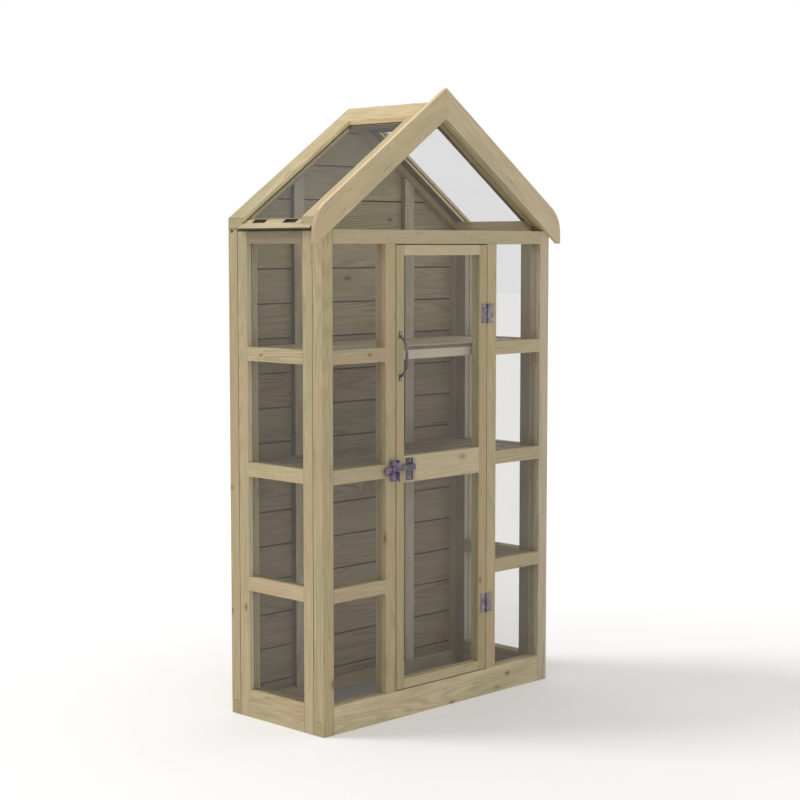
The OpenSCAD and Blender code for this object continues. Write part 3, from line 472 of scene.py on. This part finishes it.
# seen along its depth the side glass is a little greyer than the front and the roof
front_glass = float_glass("front_float_glass", in_shadow="#e4e5e4")
side_glass = {"left": float_glass("left_side_float_glass", body="#f1f1ee"),
              "right": float_glass("right_side_float_glass")}
roof_glass = float_glass("roof_float_glass", body="#fafafa", in_shadow="#e6e7e6",
                         shine="#aeaeb2")
light_glass = float_glass("roof_light_float_glass", body="#f1f1ef", in_shadow="#e6e7e6",
                          shine="#aeaeb2")
for panes in ("front_left_panes", "front_right_panes"):
    glazed(panes, front_glass)
for hand in ("left", "right"):
    glazed(f"{hand}_side_panes", side_glass[hand])

# ---------------------------------------------------------------- boarded back
# Tongued and grooved boards laid level, their bevelled joints open to the
# inside, nailed to two battens that run up to the rafters. Unlit pine, a
# little browner than the frame.
board_grain = {"ring_mm": 6.5, "marks": [(0.1831, 0.224, 1.6316, 0.006)],
               "joints": (0.1155, 0.077)}
back_pine = treated_pine("matched_pine_boards", ACROSS, early="#afa082", late="#918265",
                         green="#9c9473", rose="#a98f78", knots=0.4, **board_grain)
# the upper boards are painted lighter for the daylight that falls on them
upper_board_light = treated_pine("upper_boards_painted_light", ACROSS, early="#bcb090", late="#9b8f6f",
                          green="#a9a280", rose="#b59e86", **board_grain)
reface(eased("rear_boards", back_pine, "back_softwood", ease=0.0006), upper_board_light,
       lambda centre, normal: centre.z > 1.27)
# the battens' planed fronts are the palest timber inside
batten_pine = treated_pine("treated_pine_battens", UPRIGHT, early="#dacfb6", late="#bfb297")
# their sawn sides are painted darker for their shade, the left batten's most
left_batten_shade = treated_pine("left_batten_sides_painted_shade", UPRIGHT, early="#8a806c", late="#766c57",
                         green="#7c7560", rose="#867662", dry=0.8)
right_batten_shade = treated_pine("right_batten_sides_painted_shade", UPRIGHT, early="#ac9f88", late="#938672",
                          green="#9b927b", rose="#a8937f", dry=0.8)
battens = eased("rear_battens", batten_pine, "back_softwood")
reface(battens, left_batten_shade, lambda centre, normal: abs(normal.x) > 0.9 and centre.x < 0.0)
reface(battens, right_batten_shade, lambda centre, normal: abs(normal.x) > 0.9 and centre.x > 0.0)

# ---------------------------------------------------------------- rafters
# One pair behind the bargeboards and one pair on the rear posts, plumb cut
# against each other at the ridge and seated on the posts.
PITCH = 35.2
slope = {"left": (0, -90 + PITCH, 0), "right": (0, -90 - PITCH, 0)}
rafter_pine = {hand: treated_pine(f"treated_pine_{hand}_slope", slope[hand])
               for hand in ("left", "right")}
for end in ("front", "rear"):
    for hand in ("left", "right"):
        eased(f"{end}_{hand}_rafter", rafter_pine[hand], "frame_softwood")

# ---------------------------------------------------------------- gable glass
# One three-cornered pane in grooves of the head rail and the front rafters.
glazed("gable_pane", roof_glass)

# ---------------------------------------------------------------- bargeboards
# Two 16 mm boards on the face of the front rafters, mitred at the ridge and
# rounded at the outer ends, which hide the roof's edge and its gap.
# plain boards with quiet grain, the right one paler, whose sawn ends carry no painted shade
barge_pine = {"left": treated_pine("planed_pine_left_barge", slope["left"], early="#c6b490",
                                   late="#b8a57f", figure=0.7, butt_shade=0.0),
              "right": treated_pine("planed_pine_right_barge", slope["right"], early="#cfbe9c",
                                    late="#c0ad8a", figure=0.7, butt_shade=0.0)}
# their top edges are painted paler as a highlight of the full light on them
barge_top_highlight = {hand: treated_pine(f"bleached_{hand}_barge_edge", slope[hand], early="#e2d2a6",
                               late="#d2bd8c", green="#d3c99b", rose="#dcbd97", butt_shade=0.0)
            for hand in ("left", "right")}
for hand in ("left", "right"):
    reface(eased(f"{hand}_bargeboard", barge_pine[hand], "barge_softwood"), barge_top_highlight[hand],
           lambda centre, normal: normal.z > 0.6)

# ---------------------------------------------------------------- roof frames
# The right slope is a fixed glazed frame. The left one is its twin, hinged at
# the ridge. Stiles and top rail stand above the glass, and the thin bottom
# rail lies under it with two slots that let condensation out.
# rails that lie in full light: straw yellow at the ridge, greyer at the eaves with 2 mm of
# painted shadow along the bottom
DRIP_EDGE_SHADOW = (1.5956, 1.5936)
top_pine = treated_pine("treated_pine_ridge_rail", DEEP, early="#d8c499", late="#bda271",
                        rose="#d5ad80")
eaves_pine = treated_pine("treated_pine_eaves_rail", DEEP, early="#d2c199", late="#b8a47a",
                          eaves_shade=DRIP_EDGE_SHADOW)
# the eaves rails' outer edges have weathered to a paler grey, with painted shadow at the bottom
worn_edge = treated_pine("weathered_eaves_edge", DEEP, early="#ddcfb6", late="#cbbb9e",
                         green="#d0c6ab", rose="#dac2ab", eaves_shade=DRIP_EDGE_SHADOW)
# the top rails' upper lips are painted a paler straw as a highlight of the light they face
lip_highlight = treated_pine("ridge_lip_painted_highlight", DEEP, early="#e0cb9b", late="#cdb67e",
                         green="#d4c48c", rose="#dcc094")
# the stiles' inner faces are painted pale for the light they catch off the glass
rebate_highlight = {hand: treated_pine(f"highlit_{hand}_roof_rebate", slope[hand], early="#eadfb4",
                                   late="#d8ca98", green="#dcd49f", rose="#e2cfa6")
                for hand in ("left", "right")}
light_marks = [(-0.3586, 0.164, 1.7434, 0.004), (-0.3401, 0.164, 1.7602, 0.003),
               (-0.262, 0.17, 1.8, 0.0045), (-0.1451, 0.1693, 1.8865, 0.006)]
slope_pine = {"left": treated_pine("treated_pine_left_roof", slope["left"], early="#d0be95",
                                   late="#b5a278", rose="#cba88a", marks=light_marks),
              "right": treated_pine("treated_pine_right_roof", slope["right"],
                                    early="#cbb98f", late="#a8946a")}
# undersides are painted a dull brown for their shade
shaded_pine = treated_pine("underside_painted_shade", DEEP, early="#8f8264", late="#7b6e52",
                           green="#827b5c", rose="#8c7660")
# the top rails' undersides and the lips under their glass are painted a deeper shade
deep_shade = treated_pine("lip_painted_deep_shade", DEEP, early="#796e54", late="#685c44",
                          green="#6e674d", rose="#766350")
# the arris over each top rail's butt joint is painted as a line of brown shade
arris_shade_line = treated_pine("rail_arris_painted_shade", DEEP, early="#9c8355", late="#8a7147",
                           green="#92804f", rose="#9c7c53")
# the slots' walls and floors are painted nearly black for the shade in them
slot_shade = treated_pine("slot_painted_shade", DEEP, early="#2c2315", late="#1d170d",
                         green="#22200f", rose="#2b1f14", knots=0.0, dry=0.5)
# a top rail's lower edge stands 70 mm from the ridge line, and the glass parts its lips at
# this height
RAIL_EDGE = 0.07
GLASS_HEIGHT = 1.944


def on_rail_edge(centre, normal):
    """Picks the faces of a top rail's lower edge, above and under the glass."""
    return abs(normal.x) > 0.9 and abs(centre.x) > RAIL_EDGE - 0.001


# the slots' middle and pitch along the eaves, and the height of the frames' upper faces at
# the ridge line
SLOTS_MIDDLE, SLOT_PITCH = 0.0255, 0.146
RIDGE_HEIGHT = 1.98829


def in_slot(centre, normal):
    """Picks the walls and floors of a bottom rail's two slots."""
    along = abs(abs(centre.y - SLOTS_MIDDLE) - SLOT_PITCH / 2)
    upper_face = RIDGE_HEIGHT - abs(centre.x) * math.tan(math.radians(PITCH))
    return along < 0.0305 and 0.5185 < abs(centre.x) < 0.5355 and centre.z < upper_face


for part, hand, body in (("fixed_roof", "right", "cabinet"), ("roof_light", "left", "roof_light")):
    top_rail = eased(part + "_top_rail", top_pine, "roof_softwood", ease=0.0018, body=body)
    reface(top_rail, deep_shade, lambda centre, normal: normal.z < -0.5
           or (on_rail_edge(centre, normal) and centre.z < GLASS_HEIGHT))
    reface(top_rail, lip_highlight,
           lambda centre, normal: on_rail_edge(centre, normal) and centre.z > GLASS_HEIGHT)
    reface(top_rail, arris_shade_line, lambda centre, normal:
           -0.003 < abs(centre.x) - RAIL_EDGE < 0.0005 and 0.1 < normal.z < 0.8)
    low_rail = eased(part + "_bottom_rail", eaves_pine, "roof_softwood", body=body)
    reface(low_rail, worn_edge, lambda centre, normal: abs(normal.x) > 0.9)
    reface(low_rail, slot_shade, in_slot)
    stiles = eased(part + "_stiles", slope_pine[hand], "roof_softwood", body=body)
    reface(stiles, shaded_pine, lambda centre, normal: normal.z < -0.5)
    reface(stiles, rebate_highlight[hand], lambda centre, normal: normal.y < -0.9)
    glazed(part + "_pane", light_glass if body == "roof_light" else roof_glass, body=body)

# ---------------------------------------------------------------- ridge hinges
# Two small steel butts let into the meeting faces, zinc plated and passivated,
# so that only their knuckles show along the ridge.


def passivated_zinc(name, base="#7f7681", deep="#544d57", gloss=0.42, metal=0.85):
    """Zinc-plated steel with a clear passivate: dull grey with violet and straw tints, fine
    pressed texture and darker cloudy patches."""
    mat, tree = new_material(name)
    place = add(tree, "ShaderNodeTexCoord")
    cloud = add(tree, "ShaderNodeTexNoise", {"Scale": 55.0, "Detail": 4.0, "Roughness": 0.6},
                {"Vector": place.outputs["Object"]})
    tint = add(tree, "ShaderNodeMapRange", {1: 0.35, 2: 0.65}, {0: cloud.outputs["Fac"]})
    colour = add(tree, "ShaderNodeMix", {"data_type": "RGBA", 6: linear(deep), 7: linear(base)},
                 {0: tint.outputs[0]})
    straw = add(tree, "ShaderNodeTexNoise", {"Scale": 21.0, "Detail": 2.0},
                {"Vector": place.outputs["Object"]})
    gold = add(tree, "ShaderNodeMapRange", {1: 0.58, 2: 0.72, 3: 0.0, 4: 0.35},
               {0: straw.outputs["Fac"]})
    colour = add(tree, "ShaderNodeMix", {"data_type": "RGBA", 7: linear("#9a8f78")},
                 {0: gold.outputs[0], 6: colour.outputs[2]})
    grit = add(tree, "ShaderNodeTexNoise", {"Scale": 900.0, "Detail": 2.0},
               {"Vector": place.outputs["Object"]})
    sheen = add(tree, "ShaderNodeMapRange", {1: 0.3, 2: 0.7, 3: gloss - 0.08, 4: gloss + 0.12},
                {0: cloud.outputs["Fac"]})
    pressed = add(tree, "ShaderNodeBump", {"Strength": 0.25, "Distance": 0.0002},
                  {"Height": grit.outputs["Fac"]})
    skin = add(tree, "ShaderNodeBsdfPrincipled", {"Metallic": metal},
               {"Base Color": colour.outputs[2], "Roughness": sheen.outputs[0],
                "Normal": pressed.outputs[0]})
    add(tree, "ShaderNodeOutputMaterial", {}, {"Surface": skin.outputs[0]})
    return mat


# the plate's tint differs from fitting to fitting: grey on handle and pins, violet on lever
# and catch, worn or tinted on the door hinges' leaves, dark on the striker
zinc = passivated_zinc("passivated_zinc_plate")
violet_zinc = passivated_zinc("violet_passivated_zinc", base="#9a7f99", deep="#69546a")
pale_zinc = passivated_zinc("pale_violet_zinc", base="#a9a2c4", deep="#7f7892", metal=0.5)
grey_zinc = passivated_zinc("worn_passivated_zinc", base="#9b9491", deep="#6f6867")
hinge_zinc = passivated_zinc("tinted_passivated_zinc", base="#9c8e9e", deep="#6d6271")
striker_zinc = passivated_zinc("dark_passivated_zinc", base="#757177", deep="#524e55")
# the striker's flange has a painted highlight on its left face and a painted shadow on its front
# edge
flange_highlight = passivated_zinc("zinc_flange_painted_highlight", base="#fbf3ee", deep="#e6ddd6", metal=0.0)
flange_edge_shadow = passivated_zinc("zinc_edge_painted_shadow", base="#2c2428", deep="#201a1c", metal=0.0)
# screws are brighter than the plates
screw_zinc = passivated_zinc("bright_zinc_plated_screws", base="#b9b2ae", deep="#938b87",
                             metal=0.7)
# rain has bleached the ridge hinges to a chalky grey
chalky_zinc = passivated_zinc("chalky_weathered_zinc", base="#ded8c8", deep="#c3bba8", metal=0.2)
eased("ridge_hinge_fixed_leaves", chalky_zinc, "zinc_plated_steel", ease=0.0002)
eased("ridge_hinge_light_leaves", chalky_zinc, "zinc_plated_steel", ease=0.0002,
      body="roof_light")
eased("hinge_pins", zinc, "zinc_plated_steel", ease=0.0004)

# ---------------------------------------------------------------- shelves
# Two shelves of planed slats on bearers, level with the upper window rails.
# the upper shelf is pale and the lower one darker, both on nearly white bearers
shelf_pine = {"upper": treated_pine("planed_pine_slats", ACROSS, early="#e0d1b0", late="#c4b592"),
              "lower": treated_pine("darker_pine_slats", ACROSS, early="#a39473",
                                    late="#8c7d5f")}
bearer_pine = treated_pine("white_pine_bearers", ACROSS, early="#ded2bc", late="#c9bb9d",
                           green="#cfc6a8", rose="#d9c2ac")
# the slats' sawn front edges are painted darker than their planed tops, for the shade along them
slat_edge_shade = treated_pine("slat_edge_painted_shade", ACROSS, early="#86775a", late="#6f6147",
                         green="#7b7254", rose="#826c52", knots=0.0, dry=0.8)
eased("shelf_bearers", bearer_pine, "shelf_softwood", ease=0.0015)
for shelf in ("upper", "lower"):
    reface(eased(f"{shelf}_shelf_slats", shelf_pine[shelf], "shelf_softwood", ease=0.0015),
           slat_edge_shade, lambda centre, normal: normal.y < -0.9)

# ---------------------------------------------------------------- door stops
# Thin strips pinned inside the jambs and the head rail, which the door meets.
eased("door_stops", post_pine, "door_softwood", ease=0.0008)

# ---------------------------------------------------------------- door
# Stiles that run through, three rails tongued between them and two panes. The
# lock rail is wide to take the striker.
# the stiles are a browner pine than the rails, whose grain is quiet
door_upright = treated_pine("door_pine_upright", UPRIGHT, early="#b3a37d", late="#9b8a66",
                            marks=[(0.181, -0.1803, 1.1038, 0.005),
                                   (0.1886, -0.205, 0.4037, 0.005)])
door_level = treated_pine("door_pine_level", ACROSS, early="#c5b494", late="#b3a07e",
                          marks=[(0.097, -0.205, 0.836, 0.011)], depth=0.4, figure=0.5)
# the stile that the latch side faces has its inner face painted a greenish straw, its tone in
# shade
rebate_shade_tone = treated_pine("door_rebate_painted_shade", UPRIGHT, early="#b9ac7d", late="#a29363",
                           green="#a89f6f", rose="#b09b74")
# the edge that shuts against the jamb is painted dark for the shade in the gap
gap_shade_edge = treated_pine("door_edge_painted_shade", UPRIGHT, early="#6f6140", late="#5f5233",
                         green="#645d3b", rose="#6c583c")
DOOR_GROOVE = -0.1927
for stile, inner in (("door_left_stile", gap_shade_edge), ("door_right_stile", rebate_shade_tone)):
    piece = eased(stile, door_upright, "door_softwood", body="door")
    reface(piece, inner, lambda centre, normal: normal.x < -0.9)
    reface(piece, groove_light, lambda centre, normal:
           normal.y < -0.9 and abs(centre.y - DOOR_GROOVE) < 0.0003)
# the bottom rail's upper faces catch the light that comes in over the glass
lit_ledge = treated_pine("lit_pine_door_ledge", ACROSS, early="#e6cf98", late="#d2b982",
                         green="#d8c88c", rose="#e0c294")
for rail in ("door_top_rail", "door_lock_rail", "door_bottom_rail"):
    reface(eased(rail, door_level, "door_softwood", body="door"), lit_ledge,
           lambda centre, normal: normal.z > 0.9 and centre.z < 0.8)
glazed("door_panes", front_glass, body="door")

# ---------------------------------------------------------------- door hinges
# Pressed steel butts laid on the faces of jamb and stile, five knuckles each.
eased("door_hinge_frame_leaves", grey_zinc, "zinc_plated_steel", ease=0.0003)
eased("door_hinge_door_leaves", hinge_zinc, "zinc_plated_steel", ease=0.0003, body="door")

# ---------------------------------------------------------------- bow handle
# A cast bow handle on the door's left stile, with a flat foot at each end.
eased("bow_handle", zinc, "zinc_plated_steel", ease=0.0004, body="door")

# ---------------------------------------------------------------- gate latch
# A catch with two jaws on the jamb, a falling lever with a thumb paddle, and
# a striker bar on the door that the jaws take.
eased("latch_catch", pale_zinc, "zinc_plated_steel", ease=0.0003)
eased("latch_lever", violet_zinc, "zinc_plated_steel", ease=0.0003, body="latch_lever")
striker = eased("latch_striker", striker_zinc, "zinc_plated_steel", ease=0.0003, body="door")
reface(striker, flange_highlight,
       lambda centre, normal: normal.x < -0.9 and -0.1425 < centre.x < -0.1415)
reface(striker, flange_edge_shadow, lambda centre, normal:
       normal.y < -0.9 and centre.x > -0.1419 and centre.y < -0.2115)

# ---------------------------------------------------------------- screws
# Zinc-plated pan-head screws through the plates into the timber, each with a
# drive recess 0.7 mm deep.


def recessed(screws):
    """Sinks a round drive recess into each head's outer face."""
    shape = bmesh.new()
    shape.from_mesh(screws.data)
    heads = [f for f in shape.faces if f.normal.y < -0.9 and f.calc_area() > 20e-6]
    bmesh.ops.inset_individual(shape, faces=heads, thickness=0.0014)
    bmesh.ops.inset_individual(shape, faces=heads, thickness=0.0003, depth=-0.0007)
    shape.to_mesh(screws.data)
    shape.free()


recessed(eased("cabinet_screws", screw_zinc, "zinc_plated_steel", ease=0.0002))
recessed(eased("door_screws", screw_zinc, "zinc_plated_steel", ease=0.0002, body="door"))

# ---------------------------------------------------------------- room
# A plain white floor that runs out to a white background, soft light from all
# round, one large soft lamp high behind the left side and the photograph's
# viewpoint.


def seen_straight(tree):
    """1 where a ray comes from the camera, off a gloss or through glass, 0 for bounced light."""
    path = add(tree, "ShaderNodeLightPath")
    direct = add(tree, "ShaderNodeMath", {"operation": "ADD", "use_clamp": True},
                 {0: path.outputs["Is Camera Ray"], 1: path.outputs["Is Glossy Ray"]})
    return add(tree, "ShaderNodeMath", {"operation": "ADD", "use_clamp": True},
               {0: direct.outputs[0], 1: path.outputs["Is Transmission Ray"]})


floor_mesh = bpy.data.meshes.new("studio_floor")
floor_mesh.from_pydata([(-40, -40, 0), (40, -40, 0), (40, 40, 0), (-40, 40, 0)], [],
                       [(0, 1, 2, 3)])
floor = bpy.data.objects.new("studio_floor", floor_mesh)
bpy.context.scene.collection.objects.link(floor)
# matt white paper. Its glow, a painted light, grows away from the shadow and stops inside the
# cabinet's footprint, where the floor is painted greyer as the cabinet's shade.
paper, sheet = new_material("matt_white_floor")
SHADOW_MIDDLE = (0.4, -0.9, 0)
FOOTPRINT_MIDDLE = (0.0, 0.0225, 0.0)
FOOTPRINT_HALF = (0.535, 0.2125)
any_view = seen_straight(sheet)
ground = add(sheet, "ShaderNodeTexCoord")
away = add(sheet, "ShaderNodeVectorMath", {"operation": "DISTANCE", 1: SHADOW_MIDDLE},
           {0: ground.outputs["Object"]})
far = add(sheet, "ShaderNodeMapRange",
          {"interpolation_type": "SMOOTHSTEP", 1: 0.9, 2: 2.8, 3: 0.155, 4: 0.245},
          {0: away.outputs["Value"]})
offset = add(sheet, "ShaderNodeVectorMath", {"operation": "SUBTRACT", 1: FOOTPRINT_MIDDLE},
             {0: ground.outputs["Object"]})
spread = add(sheet, "ShaderNodeVectorMath", {"operation": "ABSOLUTE"}, {0: offset.outputs[0]})
spot = add(sheet, "ShaderNodeSeparateXYZ", {}, {0: spread.outputs[0]})
out_x = add(sheet, "ShaderNodeMath", {"operation": "GREATER_THAN", 1: FOOTPRINT_HALF[0]},
            {0: spot.outputs[0]})
out_y = add(sheet, "ShaderNodeMath", {"operation": "GREATER_THAN", 1: FOOTPRINT_HALF[1]},
            {0: spot.outputs[1]})
outside = add(sheet, "ShaderNodeMath", {"operation": "MAXIMUM"},
              {0: out_x.outputs[0], 1: out_y.outputs[0]})
shade = add(sheet, "ShaderNodeMix",
            {"data_type": "RGBA", 6: linear("#bab9ba"), 7: linear("#e8e7e5")},
            {0: outside.outputs[0]})
matt = add(sheet, "ShaderNodeBsdfDiffuse", {}, {"Color": shade.outputs[2]})
open_air = add(sheet, "ShaderNodeMath", {"operation": "MULTIPLY"},
               {0: far.outputs[0], 1: outside.outputs[0]})
lift = add(sheet, "ShaderNodeMath", {"operation": "MULTIPLY"},
           {0: any_view.outputs[0], 1: open_air.outputs[0]})
glow = add(sheet, "ShaderNodeEmission", {"Color": (1, 1, 1, 1)}, {"Strength": lift.outputs[0]})
sum_up = add(sheet, "ShaderNodeAddShader", {}, {0: matt.outputs[0], 1: glow.outputs[0]})
add(sheet, "ShaderNodeOutputMaterial", {}, {"Surface": sum_up.outputs[0]})
floor_mesh.materials.append(paper)

# the room is pure white to look at, and lights the cabinet a little less than that
world = bpy.data.worlds.new("white_room")
bpy.context.scene.world = world
world.use_nodes = True
air = world.node_tree
air.nodes.clear()
any_view = seen_straight(air)
level = add(air, "ShaderNodeMapRange", {3: 0.735, 4: 1.0}, {0: any_view.outputs[0]})
sky = add(air, "ShaderNodeBackground", {"Color": (1, 1, 1, 1)}, {"Strength": level.outputs[0]})
add(air, "ShaderNodeOutputWorld", {}, {"Surface": sky.outputs[0]})

# the key light's height and bearing follow from the cabinet's soft shadow
lamp_data = bpy.data.lights.new("soft_key", "SUN")
lamp_data.energy = 1.15
lamp_data.angle = math.radians(18)
lamp = bpy.data.objects.new("soft_key", lamp_data)
bpy.context.scene.collection.objects.link(lamp)
azimuth, height = math.radians(132), math.radians(52)
toward = Vector((math.cos(azimuth) * math.cos(height), math.sin(azimuth) * math.cos(height),
                 math.sin(height)))
lamp.rotation_euler = toward.to_track_quat("Z", "Y").to_euler()

# the viewpoint was solved from the cabinet's own edges in the photograph
camera_data = bpy.data.cameras.new("camera")
camera_data.sensor_width = 36
camera_data.lens = 78.92
camera = bpy.data.objects.new("camera", camera_data)
bpy.context.scene.collection.objects.link(camera)
camera.location = (-4.20152, -4.16627, 1.53222)
camera.rotation_euler = (math.radians(90 - 4.958), 0, math.radians(-45.291))
bpy.context.scene.camera = camera
bpy.context.scene.view_settings.view_transform = "Standard"
